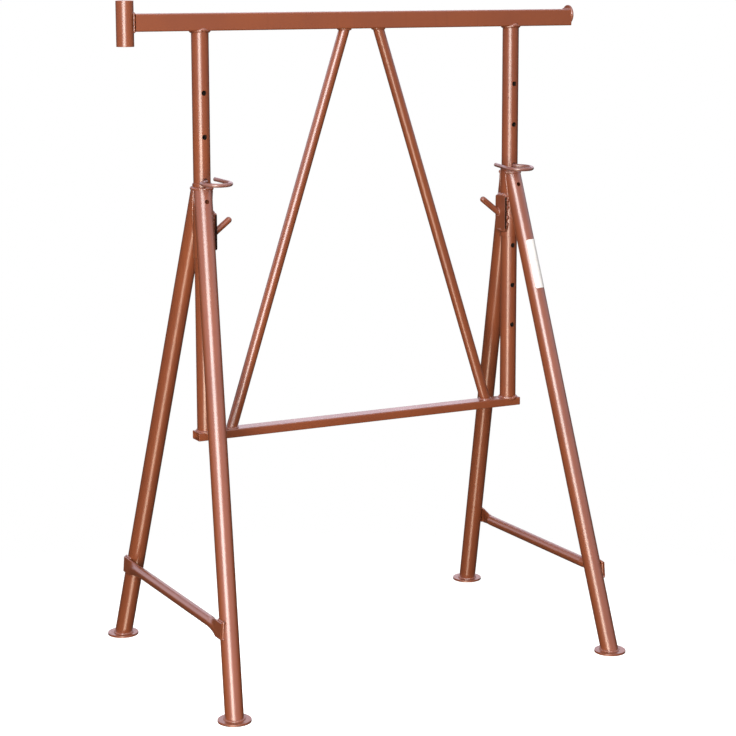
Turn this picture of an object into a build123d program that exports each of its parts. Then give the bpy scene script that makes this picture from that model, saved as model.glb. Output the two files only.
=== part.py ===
from build123d import *
from math import atan, cos, degrees, pi, radians, sin
import os

# Driving dimensions, in millimetres. The trestle stands with its pins in rest_hole.
post_spacing = 826.0  # from one post's axis to the other's
post_diameter = 40.0
post_wall = 2.0
post_length = 927.0

beam_size = 40.0
beam_wall = 2.0
beam_corner = 3.0
beam_left_overhang = 160.0  # from the left post's axis to the beam's end
beam_right_overhang = 164.0

socket_diameter = 40.0
socket_wall = 2.0
socket_length = 102.0
socket_rise = 29.0  # above the top of the beam

stop_diameter = 47.0
stop_thickness = 4.0
stop_rise = 10.0  # above the top of the beam

crossbar_width = 40.0
crossbar_height = 20.0
crossbar_wall = 2.0
crossbar_corner = 2.5
crossbar_overhang = 25.0  # past each post's axis

diagonal_diameter = 26.0
diagonal_wall = 1.8
diagonal_top_offset = 45.0  # from the middle of the beam
diagonal_foot_offset = 66.0  # from the post's axis

hole_count = 7
hole_pitch = 100.0
hole_end_distance = 140.0  # from the top hole to the underside of the beam
rest_hole = 3  # counted from the top

pin_diameter = 9.5
pin_clearance = 2.5  # on the diameter, in the post's holes
pin_reach = 10.0  # how far the shank comes out behind the post
pin_bend_radius = 12.0
pin_bend_angle = 60.0
pin_loop_radius = 33.0
pin_loop_angle = 247.0
pin_tail = 64.0
pin_slack = 0.3  # left above and below the tipped shank
tip_bevel = 1.0

sleeve_top = 1161.0  # above the floor
sleeve_length = 172.0
sleeve_wall = 2.0
sleeve_clearance = 0.5  # around the post

leg_diameter = 42.4
leg_wall = 2.0
leg_spread = 344.0  # from the post's axis to a foot's centre, front to back
leg_lean = 87.0  # from the post's axis to a foot's centre, outward
leg_apex_rise = 12.0  # the leg axes meet this far above the sleeve
leg_top_drop = 12.0  # the legs are cut off this far below the sleeve's top
vent_diameter = 10.0
vent_drop = 40.0  # from the sleeve's top

foot_diameter = 76.0
foot_thickness = 5.0

spreader_diameter = 25.0
spreader_wall = 2.0
spreader_height = 192.0
spreader_offset = 15.0  # outward of the legs' axes
tab_length = 30.0
tab_slit = 1.0  # left between the flattened walls
tab_overlap = 12.0  # past the leg's axis
tab_seat = 0.4  # how deep the tab is coped onto the leg
flattened_length = 50.0  # over which the round tube turns flat

plate_width = 46.0
plate_height = 86.0
plate_thickness = 5.0
plate_corner = 6.0
plate_bevel = 0.8
plate_centre_drop = 112.0  # from the sleeve's top

peg_diameter = 15.0
peg_length = 54.5  # from the plate to the centre of the rounded tip
peg_rise_angle = 38.0  # above the horizontal
peg_offset = 10.5  # behind the plate's middle
left_peg_drop = 12.0  # below its plate's centre
right_peg_drop = 0.0

label_length = 122.0
label_arc = 105.0  # degrees round the leg
label_turn = -66.0  # where the middle of the label faces, from +X
label_thickness = 0.3
label_drop = 296.0  # from the sleeve's top to the label's lower edge

saddle_depth = 1.0  # how far a flat end is coped onto a round tube
rim_round = 1.0  # on the edges of the end stop and the feet

# Derived sizes.
post_radius = post_diameter / 2
hole_diameter = pin_diameter + pin_clearance
overall_length = (
    socket_diameter + beam_left_overhang + post_spacing + beam_right_overhang + stop_thickness
)
left_post_x = -overall_length / 2 + socket_diameter + beam_left_overhang
right_post_x = left_post_x + post_spacing
middle_x = (left_post_x + right_post_x) / 2
beam_left_x = left_post_x - beam_left_overhang
beam_right_x = right_post_x + beam_right_overhang
sides = {"left": (left_post_x, -1), "right": (right_post_x, 1)}  # the post's place, and outward
ends = {"front": -1, "rear": 1}
peg_drops = {"left": left_peg_drop, "right": right_peg_drop}

sleeve_inner_radius = post_radius + sleeve_clearance
sleeve_radius = sleeve_inner_radius + sleeve_wall
sleeve_bottom = sleeve_top - sleeve_length

# The shank tips forward in its loose holes and comes to rest on the sleeve's front edge.
pin_tip_angle = degrees(atan((pin_clearance / 2 - pin_slack) / post_radius))
pin_height = (
    sleeve_top
    + pin_slack
    + pin_diameter / 2 / cos(radians(pin_tip_angle))
    + sleeve_radius * sin(radians(pin_tip_angle)) / cos(radians(pin_tip_angle))
)
top_hole_height = pin_height + (rest_hole - 1) * hole_pitch
beam_underside = top_hole_height + hole_end_distance
beam_top = beam_underside + beam_size
crossbar_top = beam_underside - post_length
leg_apex = sleeve_top + leg_apex_rise
leg_top = sleeve_top - leg_top_drop
leg_radius = leg_diameter / 2
vent_height = sleeve_top - vent_drop

os.makedirs("parts", exist_ok=True)


def save(piece, name):
    piece.label = name
    export_step(piece, f"parts/{name}.step")


def slanted_tube(start, finish, diameter, wall, low, high):
    # A tube along start to finish, sawn off level at the heights low and high.
    axis = Vector(*finish) - Vector(*start)
    spare = axis.normalized() * diameter
    with BuildPart() as tube:
        with BuildSketch(Plane(origin=Vector(*start) - spare, z_dir=axis)):
            Circle(diameter / 2)
            Circle(diameter / 2 - wall, mode=Mode.SUBTRACT)
        extrude(amount=axis.length + 2 * diameter)
        split(bisect_by=Plane.XY.offset(low), keep=Keep.TOP)
        split(bisect_by=Plane.XY.offset(high), keep=Keep.BOTTOM)
    return tube.part


def leg_x(post_x, outward, height):
    # Where a leg's axis is at this height, side to side.
    return post_x + outward * leg_lean * (1 - height / leg_apex)


def leg_y(end, height):
    # Where a leg's axis is at this height, front to back.
    return end * leg_spread * (1 - height / leg_apex)


def leg_tube(post_x, outward, end, diameter, wall, low, high):
    # A tube on the leg's axis, from the floor towards the point where the axes meet.
    foot = (leg_x(post_x, outward, 0), leg_y(end, 0), 0)
    return slanted_tube(foot, (post_x, 0, leg_apex), diameter, wall, low, high)


# Head beam: a square tube on the flat, its left end coped a little onto the socket.
with BuildPart() as head_beam:
    with BuildSketch(Plane.YZ.offset(beam_left_x - saddle_depth)):
        with Locations((0, beam_underside + beam_size / 2)):
            RectangleRounded(beam_size, beam_size, beam_corner)
            RectangleRounded(
                beam_size - 2 * beam_wall,
                beam_size - 2 * beam_wall,
                beam_corner - beam_wall,
                mode=Mode.SUBTRACT,
            )
    extrude(amount=beam_right_x - beam_left_x + saddle_depth)
    with Locations((beam_left_x - socket_diameter / 2, 0, beam_underside + beam_size / 2)):
        Cylinder(socket_diameter / 2, 2 * socket_length, mode=Mode.SUBTRACT)
save(head_beam.part, "head_beam")

# Guardrail socket: an upright tube across the beam's left end.
with BuildPart() as guardrail_socket:
    with BuildSketch(Plane.XY.offset(beam_top + socket_rise)):
        with Locations((beam_left_x - socket_diameter / 2, 0)):
            Circle(socket_diameter / 2)
            Circle(socket_diameter / 2 - socket_wall, mode=Mode.SUBTRACT)
    extrude(amount=-socket_length)
save(guardrail_socket.part, "guardrail_socket")

# End stop: a disc that closes the beam's right end and stands proud of its top.
with BuildPart() as end_stop_disc:
    with BuildSketch(Plane.YZ.offset(beam_right_x)):
        with Locations((0, beam_top + stop_rise - stop_diameter / 2)):
            Circle(stop_diameter / 2)
    extrude(amount=stop_thickness)
    fillet(end_stop_disc.edges().filter_by(GeomType.CIRCLE), rim_round)
save(end_stop_disc.part, "end_stop_disc")

# Lower crossbar: a flat tube under both posts.
with BuildPart() as lower_crossbar:
    with BuildSketch(Plane.YZ.offset(left_post_x - crossbar_overhang)):
        with Locations((0, crossbar_top - crossbar_height / 2)):
            RectangleRounded(crossbar_width, crossbar_height, crossbar_corner)
            RectangleRounded(
                crossbar_width - 2 * crossbar_wall,
                crossbar_height - 2 * crossbar_wall,
                crossbar_corner - crossbar_wall,
                mode=Mode.SUBTRACT,
            )
    extrude(amount=post_spacing + 2 * crossbar_overhang)
save(lower_crossbar.part, "lower_crossbar")


def make_post(name, post_x):
    # An upright tube with a row of pin holes through it from front to back.
    with BuildPart() as post:
        with BuildSketch(Plane.XY.offset(crossbar_top)):
            with Locations((post_x, 0)):
                Circle(post_radius)
                Circle(post_radius - post_wall, mode=Mode.SUBTRACT)
        extrude(amount=post_length)
        with BuildSketch(Plane.XZ):
            for index in range(hole_count):
                with Locations((post_x, top_hole_height - index * hole_pitch)):
                    Circle(hole_diameter / 2)
        extrude(amount=post_diameter, both=True, mode=Mode.SUBTRACT)
    save(post.part, name)


def make_diagonal(name, post_x, outward):
    # A brace from near the middle of the beam down to the crossbar beside the post.
    top = (middle_x + outward * diagonal_top_offset, 0, beam_underside)
    foot = (post_x - outward * diagonal_foot_offset, 0, crossbar_top)
    brace = slanted_tube(foot, top, diagonal_diameter, diagonal_wall, crossbar_top, beam_underside)
    save(brace, name)


def make_sleeve(name, post_x):
    # The tube that slides and turns on the post.
    with BuildPart() as sleeve:
        with BuildSketch(Plane.XY.offset(sleeve_bottom)):
            with Locations((post_x, 0)):
                Circle(sleeve_radius)
                Circle(sleeve_inner_radius, mode=Mode.SUBTRACT)
        extrude(amount=sleeve_length)
    save(sleeve.part, name)


def make_leg(name, post_x, outward, end):
    # A leg coped onto the sleeve, with a vent hole through its outer wall near the top.
    tube = leg_tube(post_x, outward, end, leg_diameter, leg_wall, foot_thickness, leg_top)
    with BuildPart() as leg:
        add(tube)
        with Locations((post_x, 0, leg_top - sleeve_length / 2)):
            Cylinder(sleeve_radius, 2 * sleeve_length, mode=Mode.SUBTRACT)
        with BuildSketch(Plane.XZ):
            with Locations((leg_x(post_x, outward, vent_height), vent_height)):
                Circle(vent_diameter / 2)
        extrude(amount=-end * 2 * leg_diameter, mode=Mode.SUBTRACT)
    save(leg.part, name)


def make_foot(name, post_x, outward, end):
    # The round plate that the leg stands on.
    with BuildPart() as foot:
        with BuildSketch():
            with Locations((leg_x(post_x, outward, 0), leg_y(end, 0))):
                Circle(foot_diameter / 2)
        extrude(amount=foot_thickness)
        fillet(foot.edges().group_by(Axis.Z)[-1], rim_round)
    save(foot.part, name)


def round_outline(centre_x, radius):
    # A circle in four arcs, so that it lofts to flat_outline edge by edge.
    for start in (-45, 45, 135, 225):
        CenterArc((centre_x, 0), radius, start, 90)


def flat_outline(centre_x, thickness, height):
    # The same tube pressed flat: two straight sides joined by two round edges.
    side_height = height / 2 - thickness / 2
    for sign in (1, -1):
        side_x = centre_x + sign * thickness / 2
        Line((side_x, -sign * side_height), (side_x, sign * side_height))
        CenterArc((centre_x, sign * side_height), thickness / 2, 90 - sign * 90, 180)


def make_spreader(name, post_x, outward):
    # A tube across the outer sides of a pair of legs, its ends flattened into upright tabs.
    centre = Vector(leg_x(post_x, outward, spreader_height), 0, spreader_height)
    across = Plane(origin=centre, x_dir=(leg_apex, 0, outward * leg_lean), z_dir=(0, 1, 0))
    tab_thickness = 2 * spreader_wall + tab_slit
    tab_height = pi * spreader_diameter / 2
    tab_offset = leg_radius + tab_thickness / 2 - tab_seat
    tab_end = leg_y(1, spreader_height) + tab_overlap
    tab_start = tab_end - tab_length
    round_end = tab_start - flattened_length
    with BuildPart() as spreader:
        for inset, mode in ((0, Mode.ADD), (spreader_wall, Mode.SUBTRACT)):
            for end in ends.values():
                with BuildSketch(across.offset(end * round_end)) as round_section:
                    with BuildLine():
                        round_outline(outward * spreader_offset, spreader_diameter / 2 - inset)
                    make_face()
                extrude(amount=-end * round_end, mode=mode)
                with BuildSketch(across.offset(end * tab_start)) as flat_section:
                    with BuildLine():
                        flat_outline(
                            outward * tab_offset, tab_thickness - 2 * inset, tab_height - 2 * inset
                        )
                    make_face()
                extrude(amount=end * tab_length, mode=mode)
                loft(sections=[round_section.sketch, flat_section.sketch], mode=mode)
        for end in ends.values():
            add(leg_tube(post_x, outward, end, leg_diameter, leg_radius / 2, 0, leg_top), mode=Mode.SUBTRACT)
    save(spreader.part, name)


def make_hook_plate(name, post_x, outward):
    # A plate on the inner side of the sleeve, coped a little onto it.
    inner_x = post_x - outward * (sleeve_radius - saddle_depth)
    with BuildPart() as plate:
        with BuildSketch(Plane.YZ.offset(inner_x)):
            with Locations((0, sleeve_top - plate_centre_drop)):
                RectangleRounded(plate_width, plate_height, plate_corner)
        extrude(amount=-outward * plate_thickness)
        chamfer(plate.edges().filter_by(Plane.YZ).group_by(Axis.X)[0 if outward > 0 else -1], plate_bevel)
        with Locations((post_x, 0, sleeve_top - plate_centre_drop)):
            Cylinder(sleeve_radius, 2 * plate_height, mode=Mode.SUBTRACT)
    save(plate.part, name)


def make_hook_peg(name, post_x, outward, drop):
    # A round-ended bar that points inward and up from the plate, behind its middle.
    face_x = post_x - outward * (sleeve_radius - saddle_depth + plate_thickness)
    rise = radians(peg_rise_angle)
    direction = Vector(-outward * cos(rise), 0, sin(rise))
    root = Vector(face_x, peg_offset, sleeve_top - plate_centre_drop - drop)
    with BuildPart() as peg:
        with BuildSketch(Plane(origin=root - direction * peg_diameter, z_dir=direction)):
            Circle(peg_diameter / 2)
        extrude(amount=peg_length + peg_diameter)
        with Locations(root + direction * peg_length):
            Sphere(peg_diameter / 2)
        split(bisect_by=Plane.YZ.offset(face_x), keep=Keep.BOTTOM if outward > 0 else Keep.TOP)
    save(peg.part, name)


def make_pin(name, post_x, outward):
    # A bent rod: a shank through the post, a loop in front, and a tail along the post's inner side.
    tip = radians(pin_tip_angle)
    level = Plane(
        origin=(post_x, 0, pin_height),
        x_dir=(-outward, 0, 0),
        z_dir=(0, outward * sin(tip), -outward * cos(tip)),
    )
    with BuildPart() as pin:
        with BuildLine(level) as path:
            shank = Line((0, post_radius + pin_reach), (0, -post_radius))
            bend = JernArc(shank @ 1, shank % 1, pin_bend_radius, -pin_bend_angle)
            loop = JernArc(bend @ 1, bend % 1, pin_loop_radius, pin_loop_angle)
            PolarLine(loop @ 1, pin_tail, direction=loop % 1)
        with BuildSketch(Plane(origin=path.line @ 0, z_dir=path.line % 0)):
            Circle(pin_diameter / 2)
        sweep(path=path.line)
        chamfer(pin.faces().filter_by(GeomType.PLANE).edges(), tip_bevel)
    save(pin.part, name)


def make_label(name, post_x, outward, end):
    # A blank sticker round part of the leg.
    low = sleeve_top - label_drop
    square_to_leg = Plane(
        origin=(leg_x(post_x, outward, low), leg_y(end, low), low),
        x_dir=(leg_apex, 0, outward * leg_lean),
        z_dir=(-outward * leg_lean, -end * leg_spread, leg_apex),
    )
    with BuildPart() as label:
        with BuildSketch(square_to_leg):
            with BuildLine():
                inside = CenterArc((0, 0), leg_radius, label_turn - label_arc / 2, label_arc)
                outside = CenterArc(
                    (0, 0), leg_radius + label_thickness, label_turn - label_arc / 2, label_arc
                )
                Line(inside @ 0, outside @ 0)
                Line(inside @ 1, outside @ 1)
            make_face()
        extrude(amount=label_length)
    save(label.part, name)


for side, (post_x, outward) in sides.items():
    make_post(f"{side}_post", post_x)
    make_diagonal(f"{side}_diagonal", post_x, outward)
    make_sleeve(f"{side}_sleeve", post_x)
    make_spreader(f"{side}_spreader", post_x, outward)
    make_hook_plate(f"{side}_hook_plate", post_x, outward)
    make_hook_peg(f"{side}_hook_peg", post_x, outward, peg_drops[side])
    make_pin(f"{side}_locking_pin", post_x, outward)
    for end_name, end in ends.items():
        make_leg(f"{side}_{end_name}_leg", post_x, outward, end)
        make_foot(f"{side}_{end_name}_foot", post_x, outward, end)
make_label("leg_label", right_post_x, 1, -1)
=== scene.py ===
from math import atan2, ceil, cos, hypot, pi, radians, sin, sqrt

import bmesh
import bpy
from mathutils import Matrix, Vector


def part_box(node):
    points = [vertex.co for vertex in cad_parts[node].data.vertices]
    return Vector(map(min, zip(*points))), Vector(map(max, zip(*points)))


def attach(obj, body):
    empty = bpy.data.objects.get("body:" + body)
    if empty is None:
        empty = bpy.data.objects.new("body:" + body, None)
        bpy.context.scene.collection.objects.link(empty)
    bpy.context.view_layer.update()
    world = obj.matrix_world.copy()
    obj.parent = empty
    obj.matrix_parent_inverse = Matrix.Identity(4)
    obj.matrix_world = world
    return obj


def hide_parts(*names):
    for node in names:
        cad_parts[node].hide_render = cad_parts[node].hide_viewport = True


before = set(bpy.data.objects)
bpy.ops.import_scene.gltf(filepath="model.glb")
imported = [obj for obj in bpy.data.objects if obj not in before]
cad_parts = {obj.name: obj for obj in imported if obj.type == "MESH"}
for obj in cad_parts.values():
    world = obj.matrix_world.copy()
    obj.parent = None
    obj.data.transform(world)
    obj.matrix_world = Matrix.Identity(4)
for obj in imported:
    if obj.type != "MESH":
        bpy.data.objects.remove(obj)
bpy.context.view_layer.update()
print("frame loaded:", len(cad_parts), "pieces")

sides = {"left": -1, "right": 1}  # the sign points outward along X
ends = {"front": -1, "rear": 1}
up = Vector((0, 0, 1))

trestle = {
    "tubeRadius": 0.020,  # posts and socket
    "legRadius": 0.0212,
    "sleeveRadius": 0.0225,
    "tubeWall": 0.002,
    "legApexRise": 0.012,  # the leg axes meet this far above the sleeve
    "beamCorner": 0.003,
}


# Places read from the frame.

def middle(node):
    low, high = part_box(node)
    return (low + high) / 2


def sawnEnd(node, height):
    # Centre and half sizes of a tube's end that was sawn off level at this height.
    found = [v.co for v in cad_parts[node].data.vertices if abs(v.co.z - height) < 1e-5]
    xs = [co.x for co in found]
    ys = [co.y for co in found]
    centre = Vector(((min(xs) + max(xs)) / 2, (min(ys) + max(ys)) / 2, height))
    return centre, (max(xs) - min(xs)) / 2, (max(ys) - min(ys)) / 2


beamLow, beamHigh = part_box("head_beam")
crossbarLow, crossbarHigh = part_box("lower_crossbar")
socketLow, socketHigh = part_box("guardrail_socket")
discLow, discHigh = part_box("end_stop_disc")


# Small helpers for node trees.

def node(tree, kind, inputs=None, **settings):
    made = tree.nodes.new(kind)
    for key, value in settings.items():
        setattr(made, key, value)
    for key, value in (inputs or {}).items():
        if isinstance(value, bpy.types.NodeSocket):
            tree.links.new(value, made.inputs[key])
        else:
            made.inputs[key].default_value = value
    return made


def maths(tree, operation, *values):
    return node(tree, "ShaderNodeMath", dict(enumerate(values)), operation=operation).outputs[0]


def vectorMaths(tree, operation, *values):
    return node(tree, "ShaderNodeVectorMath", dict(enumerate(values)), operation=operation)


def blendColours(tree, factor, first, second):
    mix = node(tree, "ShaderNodeMix", data_type="RGBA")
    for key, value in ((0, factor), (6, first), (7, second)):
        if isinstance(value, bpy.types.NodeSocket):
            tree.links.new(value, mix.inputs[key])
        else:
            mix.inputs[key].default_value = value
    return mix.outputs[2]


def ramped(tree, value, low, high, start=0.0, finish=1.0):
    # Spreads the stretch from low to high over start to finish, with soft ends.
    return node(
        tree,
        "ShaderNodeMapRange",
        {"Value": value, "From Min": low, "From Max": high, "To Min": start, "To Max": finish},
        interpolation_type="SMOOTHSTEP",
    ).outputs[0]


def newGroup(name, kind, inputs, outputs):
    # inputs: (name, socket type, default); returns the tree, its input node and its output node
    tree = bpy.data.node_groups.new(name, kind)
    for label, socketType, default in inputs:
        socket = tree.interface.new_socket(label, in_out="INPUT", socket_type=socketType)
        if default is not None:
            socket.default_value = default
    for label, socketType in outputs:
        tree.interface.new_socket(label, in_out="OUTPUT", socket_type=socketType)
    return tree, tree.nodes.new("NodeGroupInput"), tree.nodes.new("NodeGroupOutput")


# Effects shared by the paints.

def paintBodyGroup():
    # The paint's own colour: cloudy patches, and thin runs that follow gravity.
    tree, given, made = newGroup(
        "paintBody",
        "ShaderNodeTree",
        [
            ("Colour", "NodeSocketColor", (0.3, 0.1, 0.05, 1)),
            ("Deep Colour", "NodeSocketColor", (0.2, 0.06, 0.03, 1)),
            ("Patch Size", "NodeSocketFloat", 0.12),
            ("Patch Strength", "NodeSocketFloat", 0.5),
            ("Run Strength", "NodeSocketFloat", 0.3),
        ],
        [("Colour", "NodeSocketColor"), ("Dullness", "NodeSocketFloat")],
    )
    place = node(tree, "ShaderNodeTexCoord").outputs["Object"]
    scale = maths(tree, "DIVIDE", 1.0, given.outputs["Patch Size"])
    patches = node(
        tree, "ShaderNodeTexNoise", {"Vector": place, "Scale": scale, "Detail": 4.0}
    ).outputs["Fac"]
    patches = ramped(tree, patches, 0.35, 0.7)
    stretched = vectorMaths(tree, "MULTIPLY", place, (95.0, 95.0, 7.0)).outputs[0]
    runs = node(tree, "ShaderNodeTexNoise", {"Vector": stretched, "Scale": 1.0, "Detail": 2.0}).outputs["Fac"]
    runs = ramped(tree, runs, 0.5, 0.72)
    amount = maths(tree, "MULTIPLY", patches, given.outputs["Patch Strength"])
    runAmount = maths(tree, "MULTIPLY", runs, given.outputs["Run Strength"])
    amount = maths(tree, "MAXIMUM", amount, runAmount)
    colour = blendColours(tree, amount, given.outputs["Colour"], given.outputs["Deep Colour"])
    tree.links.new(colour, made.inputs["Colour"])
    tree.links.new(maths(tree, "MULTIPLY", patches, 0.06), made.inputs["Dullness"])
    return tree


def orangePeelGroup():
    # Height of sprayed paint, in metres: fine peel over slow waves.
    tree, given, made = newGroup(
        "orangePeel",
        "ShaderNodeTree",
        [
            ("Grain Size", "NodeSocketFloat", 0.0022),
            ("Grain Height", "NodeSocketFloat", 0.00002),
            ("Wave Size", "NodeSocketFloat", 0.03),
            ("Wave Height", "NodeSocketFloat", 0.0002),
        ],
        [("Height", "NodeSocketFloat")],
    )
    place = node(tree, "ShaderNodeTexCoord").outputs["Object"]
    total = None
    for size, height, detail in (("Grain Size", "Grain Height", 1.0), ("Wave Size", "Wave Height", 2.0)):
        scale = maths(tree, "DIVIDE", 1.0, given.outputs[size])
        noise = node(tree, "ShaderNodeTexNoise", {"Vector": place, "Scale": scale, "Detail": detail})
        layer = maths(tree, "MULTIPLY", noise.outputs["Fac"], given.outputs[height])
        total = layer if total is None else maths(tree, "ADD", total, layer)
    tree.links.new(total, made.inputs["Height"])
    return tree


def handlingMarksGroup():
    # A mask of small chips and rubs that gather in patches.
    tree, given, made = newGroup(
        "handlingMarks",
        "ShaderNodeTree",
        [
            ("Mark Size", "NodeSocketFloat", 0.006),
            ("Amount", "NodeSocketFloat", 0.3),
            ("Seed", "NodeSocketFloat", 0.0),
        ],
        [("Mask", "NodeSocketFloat")],
    )
    place = node(tree, "ShaderNodeTexCoord").outputs["Object"]
    scale = maths(tree, "DIVIDE", 1.0, given.outputs["Mark Size"])
    marks = node(
        tree,
        "ShaderNodeTexNoise",
        {"Vector": place, "W": given.outputs["Seed"], "Scale": scale, "Detail": 5.0, "Roughness": 0.65},
        noise_dimensions="4D",
    ).outputs["Fac"]
    gather = node(
        tree,
        "ShaderNodeTexNoise",
        {"Vector": place, "W": given.outputs["Seed"], "Scale": 14.0, "Detail": 1.0},
        noise_dimensions="4D",
    ).outputs["Fac"]
    level = maths(tree, "SUBTRACT", 0.86, maths(tree, "MULTIPLY", given.outputs["Amount"], gather))
    mask = ramped(tree, maths(tree, "SUBTRACT", marks, level), 0.0, 0.04)
    tree.links.new(mask, made.inputs["Mask"])
    return tree


def slideScratchesGroup():
    # Long thin upright scratches, where the sleeve slides on the post.
    tree, given, made = newGroup(
        "slideScratches",
        "ShaderNodeTree",
        [("Amount", "NodeSocketFloat", 0.3), ("Length", "NodeSocketFloat", 0.2)],
        [("Mask", "NodeSocketFloat")],
    )
    place = node(tree, "ShaderNodeTexCoord").outputs["Object"]
    along = maths(tree, "DIVIDE", 1.0, given.outputs["Length"])
    squeeze = node(tree, "ShaderNodeCombineXYZ", {"X": 700.0, "Y": 700.0, "Z": along}).outputs[0]
    drawn = vectorMaths(tree, "MULTIPLY", place, squeeze).outputs[0]
    lines = node(tree, "ShaderNodeTexNoise", {"Vector": drawn, "Scale": 1.0, "Detail": 2.0}).outputs["Fac"]
    level = maths(tree, "SUBTRACT", 0.82, maths(tree, "MULTIPLY", given.outputs["Amount"], 0.3))
    tree.links.new(ramped(tree, maths(tree, "SUBTRACT", lines, level), 0.0, 0.05), made.inputs["Mask"])
    return tree


def boreGroup():
    # A mask of the inside of an upright tube, which the paint didn't reach.
    tree, given, made = newGroup(
        "bore",
        "ShaderNodeTree",
        [("Axis X", "NodeSocketFloat", 0.0), ("Radius", "NodeSocketFloat", 0.02)],
        [("Mask", "NodeSocketFloat")],
    )
    place = node(tree, "ShaderNodeTexCoord").outputs["Object"]
    parts = node(tree, "ShaderNodeSeparateXYZ", {"Vector": place})
    across = maths(tree, "SUBTRACT", parts.outputs["X"], given.outputs["Axis X"])
    distance = vectorMaths(
        tree, "LENGTH", node(tree, "ShaderNodeCombineXYZ", {"X": across, "Y": parts.outputs["Y"]}).outputs[0]
    ).outputs["Value"]
    tree.links.new(maths(tree, "LESS_THAN", distance, given.outputs["Radius"]), made.inputs["Mask"])
    return tree


effects = {
    "paintBody": paintBodyGroup(),
    "orangePeel": orangePeelGroup(),
    "handlingMarks": handlingMarksGroup(),
    "slideScratches": slideScratchesGroup(),
    "bore": boreGroup(),
}


def effect(tree, name, inputs):
    placed = node(tree, "ShaderNodeGroup", node_tree=effects[name])
    for key, value in inputs.items():
        if isinstance(value, bpy.types.NodeSocket):
            tree.links.new(value, placed.inputs[key])
        else:
            placed.inputs[key].default_value = value
    return placed


# Paints.

redBrown = {
    "colour": (0.212, 0.059, 0.023, 1),
    "deepColour": (0.160, 0.041, 0.017, 1),
    "bareSteel": (0.20, 0.18, 0.165, 1),
    "boreSteel": (0.045, 0.028, 0.020, 1),
    "patchSize": 0.16,
    "patchStrength": 0.55,
    "runStrength": 0.35,
    "roughness": 0.30,
    "coat": 0.65,
    "coatRoughness": 0.26,
    "peelSize": 0.0024,
    "peelHeight": 0.000006,
    "waveSize": 0.035,
    "waveHeight": 0.00012,
    "markSize": 0.007,
    "markAmount": 0.10,
    "chipDepth": 0.00004,
    "steelMetal": 0.75,  # how metallic the bare marks are
    "boreRoughness": 0.75,
    "seed": 1.0,
}


def paint(name, changes=None, extraMask=None, boreOf=None):
    # Red-brown gloss over steel. extraMask(tree) adds places where the paint is rubbed through, and on the
    # hook plates a strip of painted shade along the edges.
    look = dict(redBrown, **(changes or {}))
    material = bpy.data.materials.new(name)
    material.use_nodes = True
    tree = material.node_tree
    shader = tree.nodes["Principled BSDF"]
    body = effect(
        tree,
        "paintBody",
        {
            "Colour": look["colour"],
            "Deep Colour": look["deepColour"],
            "Patch Size": look["patchSize"],
            "Patch Strength": look["patchStrength"],
            "Run Strength": look["runStrength"],
        },
    )
    marks = effect(
        tree,
        "handlingMarks",
        {"Mark Size": look["markSize"], "Amount": look["markAmount"], "Seed": look["seed"]},
    ).outputs["Mask"]
    if extraMask is not None:
        # On the hook plates this mask also holds painted shade along the edges.
        marks = maths(tree, "MAXIMUM", marks, extraMask(tree, look))
    colour = blendColours(tree, marks, body.outputs["Colour"], look["bareSteel"])
    roughness = maths(tree, "ADD", body.outputs["Dullness"], look["roughness"])
    coat = maths(tree, "MULTIPLY", maths(tree, "SUBTRACT", 1.0, marks), look["coat"])
    metal = maths(tree, "MULTIPLY", marks, look["steelMetal"])
    if boreOf is not None:
        axisX, radius = boreOf
        inside = effect(tree, "bore", {"Axis X": axisX, "Radius": radius}).outputs["Mask"]
        outside = maths(tree, "SUBTRACT", 1.0, inside)
        colour = blendColours(tree, inside, colour, look["boreSteel"])
        roughness = maths(tree, "MAXIMUM", roughness, maths(tree, "MULTIPLY", inside, look["boreRoughness"]))
        coat = maths(tree, "MULTIPLY", coat, outside)
    peel = effect(
        tree,
        "orangePeel",
        {
            "Grain Size": look["peelSize"],
            "Grain Height": look["peelHeight"],
            "Wave Size": look["waveSize"],
            "Wave Height": look["waveHeight"],
        },
    ).outputs["Height"]
    height = maths(tree, "SUBTRACT", peel, maths(tree, "MULTIPLY", marks, look["chipDepth"]))
    bump = node(tree, "ShaderNodeBump", {"Height": height, "Strength": 1.0, "Distance": 1.0})
    tree.links.new(colour, shader.inputs["Base Color"])
    tree.links.new(roughness, shader.inputs["Roughness"])
    tree.links.new(metal, shader.inputs["Metallic"])
    tree.links.new(coat, shader.inputs["Coat Weight"])
    tree.links.new(bump.outputs["Normal"], shader.inputs["Normal"])
    shader.inputs["Coat Roughness"].default_value = look["coatRoughness"]
    return material


def heightMask(low, high):
    # 1 below low and 0 above high, so that marks can gather near the floor.
    def build(tree, look):
        place = node(tree, "ShaderNodeTexCoord").outputs["Object"]
        level = node(tree, "ShaderNodeSeparateXYZ", {"Vector": place}).outputs["Z"]
        near = ramped(tree, level, low, high, 1.0, 0.0)
        rubs = effect(
            tree, "handlingMarks", {"Mark Size": 0.012, "Amount": look["rubAmount"], "Seed": 5.0}
        ).outputs["Mask"]
        return maths(tree, "MULTIPLY", near, rubs)
    return build


def scratchMask(tree, look):
    return effect(
        tree, "slideScratches", {"Amount": look["scratchAmount"], "Length": look["scratchLength"]}
    ).outputs["Mask"]


def plankRubMask(tree, look):
    # Boards rub the top of the beam.
    place = node(tree, "ShaderNodeTexCoord").outputs["Object"]
    level = node(tree, "ShaderNodeSeparateXYZ", {"Vector": place}).outputs["Z"]
    top = ramped(tree, level, beamHigh.z - 0.004, beamHigh.z)
    rubs = effect(
        tree, "handlingMarks", {"Mark Size": 0.010, "Amount": look["rubAmount"], "Seed": 8.0}
    ).outputs["Mask"]
    return maths(tree, "MULTIPLY", top, rubs)


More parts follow.
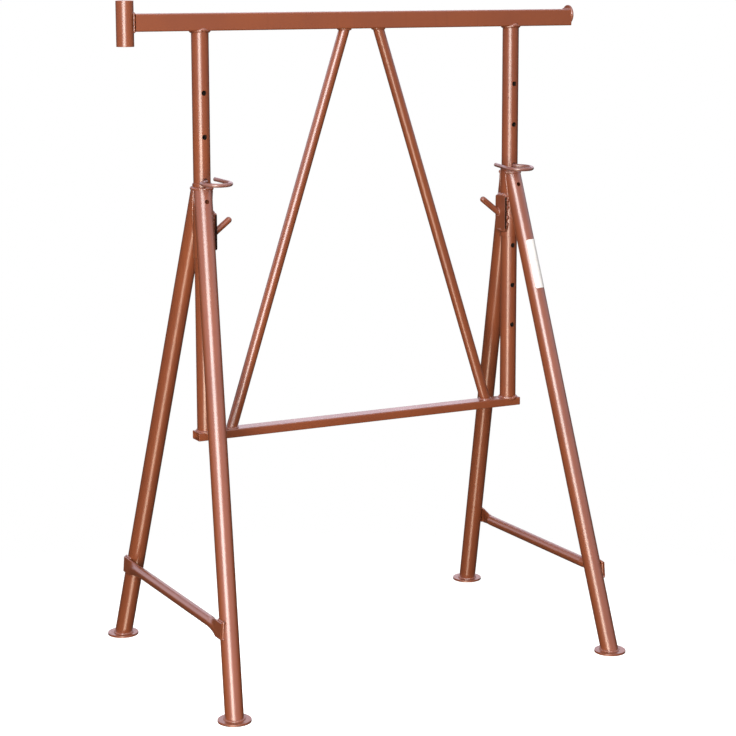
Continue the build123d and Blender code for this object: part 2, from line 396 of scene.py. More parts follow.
def plateEdgeShadeMask(tree, look):
    # Painted shade: darkens a thin strip along the hook plates' front and back edges, standing in for the
    # shadow the legs cast on them. Both plates are equally wide.
    place = node(tree, "ShaderNodeTexCoord").outputs["Object"]
    sideways = maths(tree, "ABSOLUTE", node(tree, "ShaderNodeSeparateXYZ", {"Vector": place}).outputs["Y"])
    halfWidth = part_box("left_hook_plate")[1].y
    return ramped(tree, sideways, halfWidth - 0.0009, halfWidth - 0.0005)


boreRadius = trestle["tubeRadius"] - trestle["tubeWall"] + 0.0004
postX = {side: middle(f"{side}_post").x for side in sides}

paints = {
    "tube": paint("tubePaint"),
    "beam": paint("beamPaint", {"rubAmount": 0.42, "seed": 2.0}, plankRubMask),
    "foot": paint(
        "footPaint", {"rubAmount": 0.55, "seed": 3.0, "roughness": 0.38}, heightMask(0.001, 0.0035)
    ),
    "plate": paint("platePaint", {"markAmount": 0.2, "seed": 4.0}),
    # The hook plates' very dark mark colour is painted shade for their edges; it also colours their few
    # chips.
    "hookPlate": paint(
        "hookPlatePaint", {"markAmount": 0.1, "seed": 4.5, "bareSteel": (0.035, 0.013, 0.008, 1)}, plateEdgeShadeMask
    ),
    "pin": paint(
        "pinPaint",
        {
            "colour": (0.215, 0.092, 0.070, 1),
            "deepColour": (0.15, 0.055, 0.040, 1),
            "markAmount": 0.34,
            "seed": 6.0,
        },
    ),
    "weld": paint(
        "weldPaint",
        {
            "colour": (0.245, 0.078, 0.040, 1),
            "waveHeight": 0.0001,
            "coat": 0.8,
            "roughness": 0.26,
            "markAmount": 0.0,
        },
    ),
    "socket": paint(
        "socketPaint", {"seed": 7.0}, boreOf=(middle("guardrail_socket").x, boreRadius)
    ),
}
for side in sides:
    paints[f"{side}Post"] = paint(
        f"{side}PostPaint",
        {"scratchAmount": 0.36, "scratchLength": 0.16, "seed": 9.0},
        scratchMask,
        (postX[side], boreRadius),
    )
    paints[f"{side}Sleeve"] = paint(
        f"{side}SleevePaint",
        {"markAmount": 0.16, "seed": 10.0},
        boreOf=(postX[side], trestle["sleeveRadius"] - trestle["tubeWall"] + 0.0004),
    )

labelLook = {
    "colour": (0.86, 0.87, 0.85, 1),
    "soiled": (0.66, 0.62, 0.55, 1),
    "roughness": 0.34,
    "wrinkleSize": 0.010,
    "wrinkleHeight": 0.00010,
}


def labelFilm():
    material = bpy.data.materials.new("labelFilm")
    material.use_nodes = True
    tree = material.node_tree
    shader = tree.nodes["Principled BSDF"]
    grime = effect(tree, "handlingMarks", {"Mark Size": 0.004, "Amount": 0.42, "Seed": 12.0}).outputs["Mask"]
    colour = blendColours(tree, maths(tree, "MULTIPLY", grime, 0.5), labelLook["colour"], labelLook["soiled"])
    wrinkles = effect(
        tree,
        "orangePeel",
        {
            "Grain Size": 0.003,
            "Grain Height": 0.00001,
            "Wave Size": labelLook["wrinkleSize"],
            "Wave Height": labelLook["wrinkleHeight"],
        },
    ).outputs["Height"]
    bump = node(tree, "ShaderNodeBump", {"Height": wrinkles, "Strength": 1.0, "Distance": 1.0})
    tree.links.new(colour, shader.inputs["Base Color"])
    roughness = maths(tree, "ADD", labelLook["roughness"], maths(tree, "MULTIPLY", grime, 0.2))
    tree.links.new(roughness, shader.inputs["Roughness"])
    tree.links.new(bump.outputs["Normal"], shader.inputs["Normal"])
    return material


paints["label"] = labelFilm()
print("paints made:", len(paints))


# Finish of the pieces that keep their own shape.

def paintNode(name, material):
    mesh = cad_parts[name].data
    mesh.materials.clear()
    mesh.materials.append(material)


paintNode("head_beam", paints["beam"])
paintNode("end_stop_disc", paints["plate"])
for side in sides:
    paintNode(f"{side}_post", paints[f"{side}Post"])
    paintNode(f"{side}_diagonal", paints["tube"])
    paintNode(f"{side}_spreader", paints["tube"])
    paintNode(f"{side}_hook_plate", paints["hookPlate"])
    paintNode(f"{side}_hook_peg", paints["plate"])
    paintNode(f"{side}_locking_pin", paints["pin"])
    for end in ends:
        paintNode(f"{side}_{end}_leg", paints["tube"])
        paintNode(f"{side}_{end}_foot", paints["foot"])


def addPiece(name, mesh, body, material, replaced=()):
    piece = bpy.data.objects.new(name, mesh)
    bpy.context.scene.collection.objects.link(piece)
    mesh.materials.clear()
    mesh.materials.append(material)
    mesh.shade_smooth()
    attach(piece, body)
    if replaced:
        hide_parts(*replaced)
    return piece


# Open tubes with softly rounded rims.

rims = {"roundness": 0.0007, "roundSteps": 4, "edgeLoop": 0.0015, "aroundSteps": 96, "cornerSteps": 8}


def circleOutline(radius):
    def outline(inset):
        steps = rims["aroundSteps"]
        return [
            ((radius - inset) * cos(2 * pi * i / steps), (radius - inset) * sin(2 * pi * i / steps))
            for i in range(steps)
        ]
    return outline


def boxOutline(width, height, corner):
    def outline(inset):
        bend = max(corner - inset, 0.0004)
        points = []
        for quarter, (signX, signY) in enumerate(((1, 1), (-1, 1), (-1, -1), (1, -1))):
            centreX = signX * (width / 2 - inset - bend)
            centreY = signY * (height / 2 - inset - bend)
            for i in range(rims["cornerSteps"] + 1):
                turn = (quarter + i / rims["cornerSteps"]) * pi / 2
                points.append((centreX + bend * cos(turn), centreY + bend * sin(turn)))
        return points
    return outline


def wallProfile(length, wall):
    # (inset, distance along the tube) once round the wall: out along the outside, back along the inside
    soft, steps, loop = rims["roundness"], rims["roundSteps"], rims["edgeLoop"]
    corners = (
        (soft, soft, pi, 3 * pi / 2),
        (wall - soft, soft, 3 * pi / 2, 2 * pi),
        (wall - soft, length - soft, 0, pi / 2),
        (soft, length - soft, pi / 2, pi),
    )
    stations = [(0, length - loop), (0, loop)]
    for number, (inset, along, start, finish) in enumerate(corners):
        for i in range(steps + 1):
            turn = start + (finish - start) * i / steps
            stations.append((inset + soft * cos(turn), along + soft * sin(turn)))
        if number == 1:
            stations += [(wall, loop), (wall, length - loop)]
    return stations


def openTube(outline, length, wall, place):
    work = bmesh.new()
    rings = []
    for inset, along in wallProfile(length, wall):
        rings.append([work.verts.new(place @ Vector((x, y, along))) for x, y in outline(inset)])
    for number, ring in enumerate(rings):
        after = rings[(number + 1) % len(rings)]
        for i in range(len(ring)):
            j = (i + 1) % len(ring)
            work.faces.new((ring[i], ring[j], after[j], after[i]))
    bmesh.ops.recalc_face_normals(work, faces=work.faces)
    mesh = bpy.data.meshes.new("openTube")
    work.to_mesh(mesh)
    work.free()
    return mesh


socketMesh = openTube(
    circleOutline(trestle["tubeRadius"]),
    socketHigh.z - socketLow.z,
    trestle["tubeWall"],
    Matrix.Translation((middle("guardrail_socket").x, 0, socketLow.z)),
)
addPiece("socketTube", socketMesh, "head_frame", paints["socket"], ["guardrail_socket"])

for side in sides:
    low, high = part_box(f"{side}_sleeve")
    sleeveMesh = openTube(
        circleOutline(trestle["sleeveRadius"]),
        high.z - low.z,
        trestle["tubeWall"],
        Matrix.Translation((postX[side], 0, low.z)),
    )
    addPiece(
        f"{side}SleeveTube",
        sleeveMesh,
        f"{side}_leg_frame",
        paints[f"{side}Sleeve"],
        [f"{side}_sleeve"],
    )

crossbar = {"wall": 0.002, "corner": 0.0025}
crossbarSize = crossbarHigh - crossbarLow
alongX = Matrix(((0, 0, 1), (1, 0, 0), (0, 1, 0))).to_4x4()  # the tube's own Z runs along X
crossbarMesh = openTube(
    boxOutline(crossbarSize.y, crossbarSize.z, crossbar["corner"]),
    crossbarSize.x,
    crossbar["wall"],
    Matrix.Translation((crossbarLow.x, 0, (crossbarLow.z + crossbarHigh.z) / 2)) @ alongX,
)
addPiece("crossbarTube", crossbarMesh, "head_frame", paints["tube"], ["lower_crossbar"])
print("open tubes made")


# Legs as lines.

def legLine(side, end):
    # The point on the floor, the point where the leg axes meet, and two directions square to the leg.
    foot = middle(f"{side}_{end}_foot")
    foot.z = 0
    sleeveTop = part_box(f"{side}_sleeve")[1].z
    apex = Vector((postX[side], 0, sleeveTop + trestle["legApexRise"]))
    along = (apex - foot).normalized()
    across = up.cross(along).normalized()
    return foot, along, across, along.cross(across)


# Label.

labelShape = {
    "corner": 0.005,
    "thickness": 0.00022,
    "gap": 0.00004,  # between the leg and the film
    "columns": 36,
    "rows": 64,
    "ripple": 0.00010,
}


def labelMesh():
    # A film wrapped part of the way round the right front leg, with rounded corners.
    foot, along = legLine("right", "front")[:2]
    spots = [v.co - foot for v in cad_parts["leg_label"].data.vertices]
    heights = [spot.dot(along) for spot in spots]
    low, high = min(heights), max(heights)
    centre = sum((spot - along * spot.dot(along) for spot in spots), Vector()) / len(spots)
    facing = centre.normalized()
    sideways = along.cross(facing)
    reach = max(abs(atan2(spot.dot(sideways), spot.dot(facing))) for spot in spots)
    radius = trestle["legRadius"] + labelShape["gap"]
    halfWidth = reach * radius
    corner = labelShape["corner"]
    work = bmesh.new()
    rows = []
    for r in range(labelShape["rows"] + 1):
        t = r / labelShape["rows"]
        t = t * t * (3 - 2 * t)
        height = low + (high - low) * t
        toEdge = min(height - low, high - height, corner)
        width = halfWidth - corner + sqrt(max(corner**2 - (corner - toEdge) ** 2, 0))
        row = []
        for c in range(labelShape["columns"] + 1):
            turn = (2 * c / labelShape["columns"] - 1) * width / radius
            lift = labelShape["ripple"] * (0.5 + 0.5 * sin(turn * 9 + height * 160) * sin(height * 310 + 1.3))
            spot = (facing * cos(turn) + sideways * sin(turn)) * (radius + lift)
            row.append(work.verts.new(foot + along * height + spot))
        rows.append(row)
    for lower, upper in zip(rows, rows[1:]):
        for i in range(labelShape["columns"]):
            work.faces.new((lower[i], lower[i + 1], upper[i + 1], upper[i]))
    mesh = bpy.data.meshes.new("labelSkin")
    work.to_mesh(mesh)
    work.free()
    return mesh


label = addPiece("labelSkin", labelMesh(), "right_leg_frame", paints["label"], ["leg_label"])
thickness = label.modifiers.new("film", "SOLIDIFY")
thickness.thickness = labelShape["thickness"]
thickness.offset = 1.0
print("label made")


# Weld seams.

weld = {
    "width": 0.0062,
    "step": 0.0006,
    "ripplePitch": 0.0026,
    "rippleDepth": 0.0005,
    "crescent": 1.1,
    "unevenness": 0.9,
    "lumpLength": 0.009,
    "runOut": 0.006,
    "roundSteps": 10,
    "pathStep": 0.0015,
}


def seam(spots, size=1.0, closed=True):
    # spots: (point, direction in which the bead bulges, and its size there where that varies)
    return {"spots": spots, "size": size, "closed": closed}


def ringSeam(centre, halfX, halfY, rise, size=1.0, shapeSpot=None):
    # Round an upright or slanted tube where it stands on or hangs under a flat face.
    steps = ceil(2 * pi * max(halfX, halfY) / weld["pathStep"])
    spots = []
    for i in range(steps):
        turn = 2 * pi * i / steps
        point = centre + Vector((halfX * cos(turn), halfY * sin(turn), 0))
        if shapeSpot is not None:
            point = shapeSpot(point)
        spots.append((point, Vector((cos(turn), sin(turn), rise)).normalized()))
    return seam(spots, size)


def onSide(y, reach):
    # Whether a point of an outline that is this wide each way lies on one of its upright sides.
    return abs(y) > reach * 0.98


def underBeam(point):
    # Follows the beam's rounded lower corners.
    flat = (beamHigh.y - beamLow.y) / 2 - trestle["beamCorner"]
    over = min(max(abs(point.y) - flat, 0), trestle["beamCorner"])
    point.z = beamLow.z + trestle["beamCorner"] - sqrt(trestle["beamCorner"] ** 2 - over**2)
    return point


def onCrossbar(point):
    # The post is as wide as the crossbar, so the bead dips a little over its rounded edges.
    over = max(abs(point.y) - (crossbarHigh.y - crossbar["corner"]), 0)
    point.z -= crossbar["corner"] - sqrt(crossbar["corner"] ** 2 - min(over, crossbar["corner"]) ** 2)
    return point


socketBead = {"reach": 0.0075, "proud": 0.0004, "gap": 0.0006, "lean": 0.2, "size": 0.85}


def socketSeam():
    # Closes the groove between the beam's square end and the round socket.
    reach = socketBead["reach"]
    axisX = middle("guardrail_socket").x
    low, high = beamLow.z - socketBead["proud"], beamHigh.z + socketBead["proud"]
    corners = [(-reach, low), (reach, low), (reach, high), (-reach, high)]
    spots = []
    for (y0, z0), (y1, z1) in zip(corners, corners[1:] + corners[:1]):
        steps = ceil(hypot(y1 - y0, z1 - z0) / weld["pathStep"])
        for i in range(steps):
            y = y0 + (y1 - y0) * i / steps
            z = z0 + (z1 - z0) * i / steps
            x = axisX + sqrt(trestle["tubeRadius"] ** 2 - y * y) + socketBead["gap"]
            bulge = Vector((socketBead["lean"], y / reach if onSide(y, reach) else 0, 0))
            bulge.z = 1 if z >= high else -1 if z <= low else 0
            spots.append((Vector((x, y, z)), bulge.normalized()))
    return seam(spots, socketBead["size"])


def stopSeam():
    # Along the beam's outline where the round stop covers it: up one side, over the top and down the other.
    half = (beamHigh.y - beamLow.y) / 2
    centreZ = (discLow.z + discHigh.z) / 2
    discRadius = (discHigh.z - discLow.z) / 2
    lowest = centreZ - sqrt((discRadius - 0.002) ** 2 - half**2)
    soft = trestle["beamCorner"]
    outline = [(-half, lowest), (-half, beamHigh.z - soft), (-half + soft, beamHigh.z)]
    outline += [(-y, z) for y, z in reversed(outline)]
    spots = []
    for (y0, z0), (y1, z1) in zip(outline, outline[1:]):
        steps = ceil(hypot(y1 - y0, z1 - z0) / weld["pathStep"])
        for i in range(steps):
            y = y0 + (y1 - y0) * i / steps
            z = z0 + (z1 - z0) * i / steps
            side = Vector((0, y / half if abs(y) > half - soft else 0, 1 if z > beamHigh.z - soft else 0))
            spots.append((Vector((discLow.x, y, z)), (side.normalized() + Vector((-1, 0, 0))).normalized()))
    return seam(spots, 0.8, closed=False)


copeBead = {"steps": 220, "sideSize": 0.75, "topSize": 1.3}


def legToSleeveSeam(side, end):
    # Up both sides of the cope and across the crescent at the top.
    foot, along, across, outOf = legLine(side, end)
    radius, sleeveRadius = trestle["legRadius"], trestle["sleeveRadius"]
    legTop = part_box(f"{side}_{end}_leg")[1].z
    axis = Vector((postX[side], 0, 0))
    steps = copeBead["steps"]
    spots = []
    for i in range(steps):
        turn = 2 * pi * i / steps
        normal = across * cos(turn) + outOf * sin(turn)
        base = foot + normal * radius - axis
        a = along.x**2 + along.y**2
        b = base.x * along.x + base.y * along.y
        c = base.x**2 + base.y**2 - sleeveRadius**2
        inside = b * b - a * c
        topReach = (legTop - base.z) / along.z
        reach = (-b - sqrt(inside)) / a if inside > 0 else topReach
        if reach < topReach:
            point = base + along * reach
            away = Vector((point.x, point.y, 0)).normalized()
            bulge = (normal + away).normalized()
            swell = copeBead["sideSize"]
        else:
            point = base + along * topReach
            away = Vector((point.x, point.y, 0))
            point = point - away + away.normalized() * (away.length + sleeveRadius) / 2
            bulge = (away.normalized() * 0.4 + up).normalized()
            swell = copeBead["topSize"]
        spots.append((point + axis, bulge, swell))
    return seam(spots)


def legToFootSeam(side, end):
    foot, along, across, outOf = legLine(side, end)
    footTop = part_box(f"{side}_{end}_foot")[1].z
    steps = ceil(2 * pi * trestle["legRadius"] / weld["pathStep"])
    spots = []
    for i in range(steps):
        turn = 2 * pi * i / steps
        normal = across * cos(turn) + outOf * sin(turn)
        base = foot + normal * trestle["legRadius"]
        point = base + along * (footTop - base.z) / along.z
        spots.append((point, (normal + up).normalized()))
    return seam(spots, 1.0)


# inset: from the tab's upper and lower edges; deepest: as far round the leg as its curve is followed
tabBead = {"inset": 0.001, "reachShare": 0.96, "deepest": 0.018, "sinkShare": 0.45, "size": 0.85}


def spreaderSeam(side, end):
    # Round the free end of the spreader's flat tab, where it lies against the leg.
    outward, forward = sides[side], ends[end]
    foot, along = legLine(side, end)[:2]
    low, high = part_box(f"{side}_spreader")
    centreZ = (low.z + high.z) / 2
    tabEnd = high.y if forward > 0 else low.y
    lean = Vector((along.x, 0, along.z)).normalized()  # up the leg, as seen from the front
    out = Vector((lean.z, 0, -lean.x)) * outward
    halfHeight = (high.z - low.z) / 2 - tabBead["inset"]
    legY = (foot + along * (centreZ / along.z)).y
    centre = Vector(((foot + along * (centreZ / along.z)).x, 0, centreZ))
    reach = abs(tabEnd - legY)
    outline = [(-reach, 1), (reach, 1), (reach, -1), (-reach, -1)]
    spots = []
    for (s0, v0), (s1, v1) in zip(outline, outline[1:]):
        length = hypot(s1 - s0, (v1 - v0) * halfHeight)
        steps = ceil(length / weld["pathStep"])
        for i in range(steps + 1):
            s = s0 + (s1 - s0) * i / steps
            v = (v0 + (v1 - v0) * i / steps) * halfHeight
            offset = min(abs(s) * tabBead["reachShare"], tabBead["deepest"])
            gap = trestle["legRadius"] - sqrt(trestle["legRadius"] ** 2 - offset**2)
            shift = along.y / along.z * v  # the leg moves back as it rises
            point = centre + lean * v + out * (trestle["legRadius"] - gap * tabBead["sinkShare"])
            point.y = legY + forward * s + (0 if onSide(s, reach) else shift)
            pastTab = Vector((0, forward if s > 0 and onSide(s, reach) else 0, 0))
            bulge = pastTab + lean * (v / halfHeight) * 0.9 + out * 0.6
            spots.append((point, bulge.normalized()))
    return seam(spots, tabBead["size"], closed=False)


hookPlateBead = {"sunk": 0.001, "reach": 0.0155, "size": 1.8}


def hookPlateSeam(side):
    # Fills the groove between the flat plate and the round sleeve with a heavy, wandering bead.
    outward = sides[side]
    low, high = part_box(f"{side}_hook_plate")
    backX = trestle["sleeveRadius"] - hookPlateBead["sunk"]
    reach = hookPlateBead["reach"]
    corners = [(-reach, low.z), (reach, low.z), (reach, high.z), (-reach, high.z)]
    spots = []
    for (y0, z0), (y1, z1) in zip(corners, corners[1:] + corners[:1]):
        steps = ceil(hypot(y1 - y0, z1 - z0) / weld["pathStep"])
        for i in range(steps):
            y = y0 + (y1 - y0) * i / steps
            z = z0 + (z1 - z0) * i / steps
            onEdge = onSide(y, reach)
            if onEdge:
                y *= 1 + 0.09 * sin(z * 310) + 0.07 * sin(z * 730 + y * 90)  # two uneven waves
            x = (backX + min(sqrt(trestle["sleeveRadius"] ** 2 - y * y), backX)) / 2
            bulge = Vector((0, y / reach if onEdge else 0, 1 if z >= high.z else -1 if z <= low.z else 0))
            spots.append((Vector((postX[side] - outward * x, y, z)), bulge.normalized()))
    return seam(spots, hookPlateBead["size"])


def pegSeam(side):
    # Round the hook where it leaves the plate, along the edge that the two share.
    outward = sides[side]
    plateLow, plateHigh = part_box(f"{side}_hook_plate")
    faceX = plateLow.x if outward > 0 else plateHigh.x
    edge = {}
    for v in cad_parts[f"{side}_hook_peg"].data.vertices:
        if abs(v.co.x - faceX) < 1e-5:
            edge[(round(v.co.y, 6), round(v.co.z, 6))] = v.co.copy()
    centre = sum(edge.values(), Vector()) / len(edge)
    spots = []
    for point in sorted(edge.values(), key=lambda co: atan2(co.z - centre.z, co.y - centre.y)):
        away = (point - centre).normalized()
        spots.append((point, (away + Vector((-outward, 0, 0))).normalized()))
    return seam(spots, 0.75)


def headFrameSeams():
    seams = [socketSeam(), stopSeam()]
    for side in sides:
        radius = trestle["tubeRadius"]
        top = Vector((postX[side], 0, beamLow.z))
        seams.append(ringSeam(top, radius, radius, -1, 1.25, underBeam))
        foot = Vector((postX[side], 0, crossbarHigh.z))
        seams.append(ringSeam(foot, radius, radius, 1, 1.35, onCrossbar))
        for height, rise in ((beamLow.z, -1), (crossbarHigh.z, 1)):
            centre, halfX, halfY = sawnEnd(f"{side}_diagonal", height)
            seams.append(ringSeam(centre, halfX, halfY, rise, 1.15))
    return seams


def legFrameSeams(side):
    seams = [hookPlateSeam(side), pegSeam(side)]
    for end in ends:
        seams += [legToSleeveSeam(side, end), legToFootSeam(side, end), spreaderSeam(side, end)]
    return seams


def weldBeadTree():
    # Turns seam lines into beads: a round section that swells and narrows, with curved ripples across it.
    tree, given, made = newGroup(
        "weldBead",
        "GeometryNodeTree",
        [
            ("Seams", "NodeSocketGeometry", None),
            ("Width", "NodeSocketFloat", 0.006),
            ("Step", "NodeSocketFloat", 0.0006),
            ("Round Steps", "NodeSocketInt", 10),
            ("Ripple Pitch", "NodeSocketFloat", 0.0025),
            ("Ripple Depth", "NodeSocketFloat", 0.0004),
            ("Crescent", "NodeSocketFloat", 1.0),
            ("Unevenness", "NodeSocketFloat", 0.5),
            ("Lump Length", "NodeSocketFloat", 0.01),
            ("Run Out", "NodeSocketFloat", 0.006),
            ("Seed", "NodeSocketFloat", 1.0),
            ("Paint", "NodeSocketMaterial", None),
        ],
        [("Beads", "NodeSocketGeometry")],
    )
    ask = given.outputs
    line = node(tree, "GeometryNodeMeshToCurve", {"Mesh": ask["Seams"]}).outputs["Curve"]
    even = node(tree, "GeometryNodeResampleCurve", mode="LENGTH")
    tree.links.new(line, even.inputs["Curve"])
    tree.links.new(ask["Step"], even.inputs["Length"])

    size = node(tree, "GeometryNodeInputNamedAttribute", {"Name": "beadSize"}).outputs[0]
    closed = node(tree, "GeometryNodeInputNamedAttribute", {"Name": "beadClosed"}).outputs[0]
    bulge = node(
        tree, "GeometryNodeInputNamedAttribute", {"Name": "beadBulge"}, data_type="FLOAT_VECTOR"
    ).outputs[0]
    run = node(tree, "GeometryNodeSplineParameter").outputs["Length"]
    whole = node(tree, "GeometryNodeSplineLength").outputs["Length"]
    nearEnd = maths(tree, "MINIMUM", run, maths(tree, "SUBTRACT", whole, run))
    runOut = ramped(tree, nearEnd, 0.0, ask["Run Out"], 0.3, 1.0)
    fullness = maths(tree, "MAXIMUM", runOut, closed)

    spread = maths(tree, "DIVIDE", 1.0, ask["Lump Length"])
    place = node(tree, "GeometryNodeInputPosition").outputs[0]
    lumps = node(
        tree,
        "ShaderNodeTexNoise",
        {"Vector": place, "W": ask["Seed"], "Scale": spread, "Detail": 2.0},
        noise_dimensions="4D",
    ).outputs["Fac"]
    lumps = maths(tree, "SUBTRACT", lumps, 0.5)
    swell = maths(tree, "ADD", 1.0, maths(tree, "MULTIPLY", lumps, ask["Unevenness"]))
    scale = maths(tree, "MULTIPLY", maths(tree, "MULTIPLY", size, fullness), swell)

    keep = node(tree, "GeometryNodeCaptureAttribute")
    keep.capture_items.new("FLOAT", "run")
    tree.links.new(even.outputs["Curve"], keep.inputs["Geometry"])
    tree.links.new(run, keep.inputs["run"])
    section = node(tree, "GeometryNodeCurvePrimitiveCircle")
    tree.links.new(ask["Round Steps"], section.inputs["Resolution"])
    tree.links.new(maths(tree, "DIVIDE", ask["Width"], 2.0), section.inputs["Radius"])
    bead = node(
        tree,
        "GeometryNodeCurveToMesh",
        {
            "Curve": keep.outputs["Geometry"],
            "Profile Curve": section.outputs["Curve"],
            "Scale": scale,
            "Fill Caps": True,
        },
    ).outputs["Mesh"]

    normal = node(tree, "GeometryNodeInputNormal").outputs["Normal"]
    crown = vectorMaths(tree, "DOT_PRODUCT", normal, bulge).outputs["Value"]
    bow = maths(tree, "MULTIPLY", maths(tree, "MULTIPLY", crown, crown), ask["Crescent"])
    phase = maths(tree, "ADD", maths(tree, "DIVIDE", keep.outputs["run"], ask["Ripple Pitch"]), bow)
    phase = maths(tree, "ADD", phase, maths(tree, "MULTIPLY", lumps, 2.0))
    wave = maths(tree, "ABSOLUTE", maths(tree, "SINE", maths(tree, "MULTIPLY", phase, pi)))
    height = maths(tree, "MULTIPLY", maths(tree, "SUBTRACT", wave, 0.5), ask["Ripple Depth"])
    push = vectorMaths(tree, "SCALE", normal)
    tree.links.new(height, push.inputs["Scale"])
    rippled = node(tree, "GeometryNodeSetPosition", {"Geometry": bead, "Offset": push.outputs[0]}).outputs[0]
    smooth = node(tree, "GeometryNodeSetShadeSmooth", {"Geometry": rippled}).outputs[0]
    real = node(tree, "GeometryNodeRealizeInstances", {"Geometry": smooth}).outputs[0]
    painted = node(tree, "GeometryNodeSetMaterial", {"Geometry": real, "Material": ask["Paint"]}).outputs[0]
    tree.links.new(painted, made.inputs["Beads"])
    return tree


def seamLines(name, seams):
    # All seam lines of one body as loose edges, with each bead's size and bulge kept on its points.
    points, edges, sizes, closedFlags, bulges = [], [], [], [], []
    for line in seams:
        first = len(points)
        count = len(line["spots"])
        for point, bulge, *swell in line["spots"]:
            points.append(point)
            sizes.append(line["size"] * (swell[0] if swell else 1))
            closedFlags.append(1.0 if line["closed"] else 0.0)
            bulges += list(bulge)
        edges += [(first + i, first + i + 1) for i in range(count - 1)]
        if line["closed"]:
            edges.append((first + count - 1, first))
    mesh = bpy.data.meshes.new(name)
    mesh.from_pydata(points, edges, [])
    for label, kind, values, key in (
        ("beadSize", "FLOAT", sizes, "value"),
        ("beadClosed", "FLOAT", closedFlags, "value"),
        ("beadBulge", "FLOAT_VECTOR", bulges, "vector"),
    ):
        mesh.attributes.new(label, kind, "POINT").data.foreach_set(key, values)
    return mesh


def applied(piece):
    # The evaluated result as a plain mesh.
    graph = bpy.context.evaluated_depsgraph_get()
    mesh = bpy.data.meshes.new_from_object(piece.evaluated_get(graph), depsgraph=graph)
    piece.modifiers.clear()
    return mesh


beadTree = weldBeadTree()
beadInputs = {item.name: item.identifier for item in beadTree.interface.items_tree if item.in_out == "INPUT"}


def weldBeads(name, seams, body, seed):
    lines = bpy.data.objects.new(name + "Lines", seamLines(name + "Lines", seams))
    bpy.context.scene.collection.objects.link(lines)
    maker = lines.modifiers.new("beads", "NODES")
    maker.node_group = beadTree
    for label, value in (
        ("Width", weld["width"]),
        ("Step", weld["step"]),
        ("Round Steps", weld["roundSteps"]),
        ("Ripple Pitch", weld["ripplePitch"]),
        ("Ripple Depth", weld["rippleDepth"]),
        ("Crescent", weld["crescent"]),
        ("Unevenness", weld["unevenness"]),
        ("Lump Length", weld["lumpLength"]),
        ("Run Out", weld["runOut"]),
        ("Seed", seed),
        ("Paint", paints["weld"]),
    ):
        maker[beadInputs[label]] = value
    mesh = applied(lines)
    bpy.data.objects.remove(lines)
    piece = addPiece(name, mesh, body, paints["weld"])
    print(name, "made:", len(seams), "seams,", len(mesh.polygons), "faces")
    return piece


weldBeads("headFrameWelds", headFrameSeams(), "head_frame", 1.0)
for side in sides:
    weldBeads(f"{side}LegWelds", legFrameSeams(side), f"{side}_leg_frame", 2.0 + sides[side] * 0.5)


# Floor, light and camera.

studio = {
    "floorLevel": -0.405,  # just under the feet when both leg frames slide down to their limit
    "floorRadius": 2.6,
    "floorFade": (1.1, 2.5),  # solid up to the first radius, gone at the second
    "floorColour": (0.86, 0.86, 0.86, 1),
    "floorGlow": 0.6,
    "backdrop": 1.0,
    "skyColour": (1.0, 0.86, 0.98, 1),
    "groundColour": (0.04, 0.025, 0.02, 1),
    "zenithColour": (0.32, 0.28, 0.38, 1),
    "horizon": (0.0, 0.20),  # dark below the first height, full sky above the second
    "overhead": (0.28, 0.65),
    "skyLight": 1.7,  # only in reflections
    "roomLight": 0.035,
}


def makeFloor():
    work = bmesh.new()
    bmesh.ops.create_circle(work, cap_ends=True, radius=studio["floorRadius"], segments=96)
    mesh = bpy.data.meshes.new("floor")
    work.to_mesh(mesh)
    work.free()
    floor = bpy.data.objects.new("floor", mesh)
    bpy.context.scene.collection.objects.link(floor)
    material = bpy.data.materials.new("floorPale")
    material.use_nodes = True
    tree = material.node_tree
    shader = tree.nodes["Principled BSDF"]
    place = node(tree, "ShaderNodeTexCoord").outputs["Object"]
    distance = vectorMaths(tree, "LENGTH", place).outputs["Value"]
    near, far = studio["floorFade"]
    tree.links.new(ramped(tree, distance, near, far, 1.0, 0.0), shader.inputs["Alpha"])
    shader.inputs["Base Color"].default_value = studio["floorColour"]
    shader.inputs["Roughness"].default_value = 0.7
    shader.inputs["Emission Color"].default_value = (1, 1, 1, 1)
    shader.inputs["Emission Strength"].default_value = studio["floorGlow"]
    mesh.materials.append(material)
    # The floor takes shadows, but doesn't light or veil the paint.
    floor.visible_glossy = False
    floor.visible_diffuse = False
    floor.visible_shadow = False
    floor.location.z = studio["floorLevel"]


def makeRoom():
    # The camera sees a white backdrop, the gloss sees a pale sky over dark ground, and the rest is dim.
    world = bpy.data.worlds.new("studioRoom")
    world.use_nodes = True
    bpy.context.scene.world = world
    tree = world.node_tree
    direction = node(tree, "ShaderNodeTexCoord").outputs["Generated"]
    height = node(tree, "ShaderNodeSeparateXYZ", {"Vector": direction}).outputs["Z"]
    nearZenith = ramped(tree, height, *studio["overhead"])
    aboveGround = ramped(tree, height, *studio["horizon"])
    sky = blendColours(tree, nearZenith, studio["skyColour"], studio["zenithColour"])
    sky = blendColours(tree, aboveGround, studio["groundColour"], sky)
    path = node(tree, "ShaderNodeLightPath")
    room = node(tree, "ShaderNodeBackground", {"Color": (1, 1, 1, 1), "Strength": studio["roomLight"]})
    mirrored = node(tree, "ShaderNodeBackground", {"Color": sky, "Strength": studio["skyLight"]})
    white = node(tree, "ShaderNodeBackground", {"Color": (1, 1, 1, 1), "Strength": studio["backdrop"]})
    mix = node(
        tree,
        "ShaderNodeMixShader",
        {0: path.outputs["Is Glossy Ray"], 1: room.outputs[0], 2: mirrored.outputs[0]},
    )
    mix = node(
        tree,
        "ShaderNodeMixShader",
        {0: path.outputs["Is Camera Ray"], 1: mix.outputs[0], 2: white.outputs[0]},
    )
    tree.links.new(mix.outputs[0], tree.nodes["World Output"].inputs["Surface"])


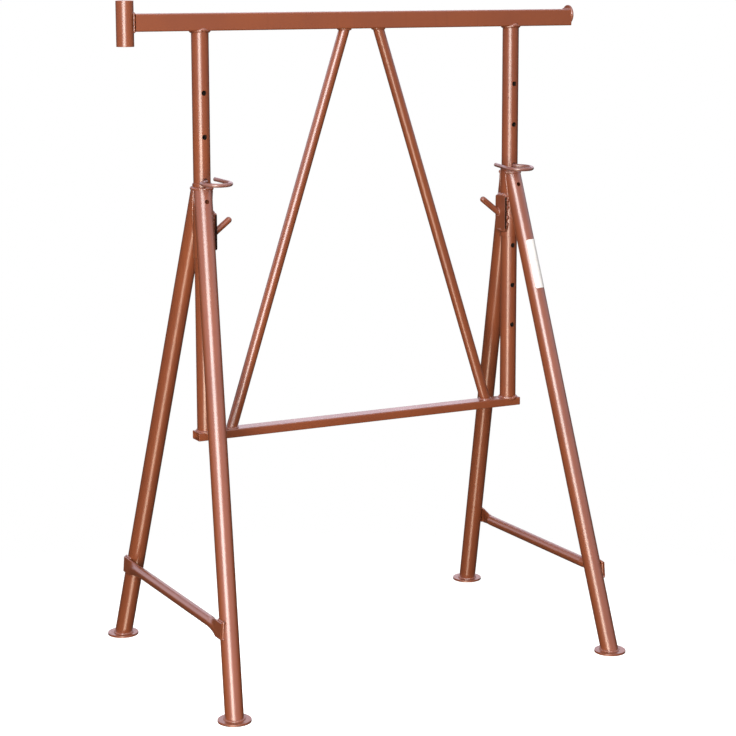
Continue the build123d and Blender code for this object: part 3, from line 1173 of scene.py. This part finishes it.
# A box lights both gloss and matt surfaces, unless it says only one of them.
softBoxes = {
    "keyBox": {"place": (-3.2, -4.4, 2.6), "aim": (0, 0, 0.9), "size": (3.2, 3.0), "power": 390},
    "lowBox": {
        "place": (-3.2, -4.4, 0.0),
        "aim": (0, 0, 0.9),
        "size": (1.8, 2.6),
        "power": 180,
        "colour": (1, 0.80, 0.64),
    },
    "groundBox": {
        "place": (-1.45, -1.55, -1.35),
        "aim": (0, 0.15, 0.6),
        "size": (1.0, 2.4),
        "power": 52,
        "colour": (1, 0.84, 0.66),
        "lights": "gloss",
    },
    "overheadBox": {"place": (0.2, -0.6, 4.6), "aim": (0, 0, 0.5), "size": (4.0, 3.0), "power": 90},
    "backBox": {
        "place": (1.9, 4.7, 2.3),
        "aim": (0, 0, 0.8),
        "size": (3.0, 2.4),
        "power": 230,
        "lights": "matt",
    },
}


def makeSoftBox(name, box):
    light = bpy.data.lights.new(name, "AREA")
    light.shape = "RECTANGLE"
    light.size, light.size_y = box["size"]
    light.energy = box["power"]
    light.color = box.get("colour", (1, 1, 1))
    lamp = bpy.data.objects.new(name, light)
    bpy.context.scene.collection.objects.link(lamp)
    lamp.location = box["place"]
    lamp.visible_camera = False
    lights = box.get("lights", "both")
    lamp.visible_diffuse = lights != "gloss"
    lamp.visible_glossy = lights != "matt"
    lamp.rotation_euler = (Vector(box["aim"]) - Vector(box["place"])).to_track_quat("-Z", "Y").to_euler()


view = {
    "place": (-2.204, -4.2696, 1.6245),
    "turn": 27.64,  # degrees from straight ahead towards the right
    "tip": 9.05,  # downward
    "roll": -0.13,
    "lens": 98.9,
    "shiftUp": -0.0924,
}


def makeCamera():
    data = bpy.data.cameras.new("studioCamera")
    data.lens = view["lens"]
    data.shift_y = view["shiftUp"]
    camera = bpy.data.objects.new("studioCamera", data)
    bpy.context.scene.collection.objects.link(camera)
    turned = Matrix.Rotation(radians(-view["turn"]), 4, "Z")
    tipped = Matrix.Rotation(radians(90 - view["tip"]), 4, "X")
    rolled = Matrix.Rotation(radians(view["roll"]), 4, "Z")
    camera.rotation_euler = (turned @ tipped @ rolled).to_euler()
    camera.location = view["place"]
    bpy.context.scene.camera = camera


makeFloor()
makeRoom()
for name, box in softBoxes.items():
    makeSoftBox(name, box)
makeCamera()
bpy.context.scene.view_settings.view_transform = "Standard"
print("studio made")
